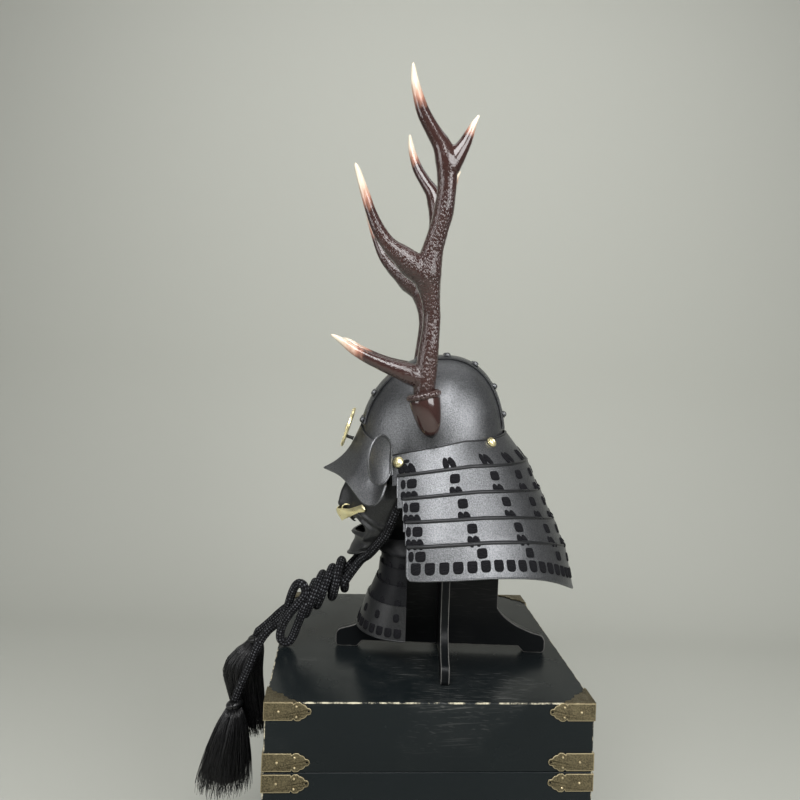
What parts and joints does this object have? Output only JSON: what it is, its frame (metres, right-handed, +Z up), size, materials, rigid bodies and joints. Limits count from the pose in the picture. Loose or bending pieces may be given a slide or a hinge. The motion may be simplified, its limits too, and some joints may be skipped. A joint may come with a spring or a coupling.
{
  "type": "kabuto samurai helmet with face mask on stand and box",
  "caption": "Samurai helmet with antlers, crest, laced neck guard and half mask, tied by a tasselled cord on a cross stand over a lacquered armour box.",
  "frame": {"origin": "on the floor under the crossing of the stand's two boards, in the plane of the box's underside", "axes": "+Z up, the helmet looks towards -Y and its wearer's left is +X"},
  "size_m": [0.4622, 0.5641, 1.2362],
  "materials": {
    "black_iron": "satin black lacquer over iron, fine grain",
    "antler": "glossy brown lacquer, pearled, with ivory tips",
    "gold": "polished gold",
    "aged_brass": "antique brass, stippled",
    "box_lacquer": "black lacquer, glossy, worn at its edges",
    "stand_wood": "black paint, lighter worn edges",
    "cord": "round braided cord, black and grey herringbone",
    "tassel_silk": "black silk threads"
  },
  "bodies": {
    "root": {"box_body": "box_lacquer", "box_lid": "box_lacquer", "brass_lid_top_left_front": "aged_brass", "brass_lid_top_left_rear": "aged_brass", "brass_lid_top_right_rear": "aged_brass", "brass_lid_top_right_front": "aged_brass", "brass_lid_bottom_left_front": "aged_brass", "brass_lid_bottom_left_rear": "aged_brass", "brass_lid_bottom_right_rear": "aged_brass", "brass_lid_bottom_right_front": "aged_brass", "brass_body_top_left_front": "aged_brass", "brass_body_top_left_rear": "aged_brass", "brass_body_top_right_rear": "aged_brass", "brass_body_top_right_front": "aged_brass", "brass_body_bottom_left_front": "aged_brass", "brass_body_bottom_left_rear": "aged_brass", "brass_body_bottom_right_rear": "aged_brass", "brass_body_bottom_right_front": "aged_brass", "stand_board_side": "stand_wood", "stand_board_cross": "stand_wood", "bowl": "black_iron", "crown_band": "black_iron", "visor": "black_iron", "neck_lame_1": "black_iron", "neck_lame_2": "black_iron", "neck_lame_3": "black_iron", "neck_lame_4": "black_iron", "neck_lame_5": "black_iron", "flap_left": "black_iron", "gold_rivet_front_left": "gold", "gold_rivet_rear_left": "gold", "antler_left": "antler", "antler_pin_left": "black_iron", "flap_right": "black_iron", "gold_rivet_front_right": "gold", "gold_rivet_rear_right": "gold", "antler_right": "antler", "antler_pin_right": "black_iron", "crest_plate": "gold", "crest_peg": "black_iron", "mask": "black_iron", "lip_plate": "gold", "neck_piece": "black_iron", "throat_lame_1": "black_iron", "throat_lame_2": "black_iron", "throat_lame_3": "black_iron", "throat_lame_4": "black_iron", "chin_cord_left": "cord", "chin_cord_right": "cord", "cord_knot": "cord", "cord_tail_long": "cord", "cord_tail_short": "cord", "tassel_long": "tassel_silk", "tassel_short": "tassel_silk"}
  },
  "joints": []
}
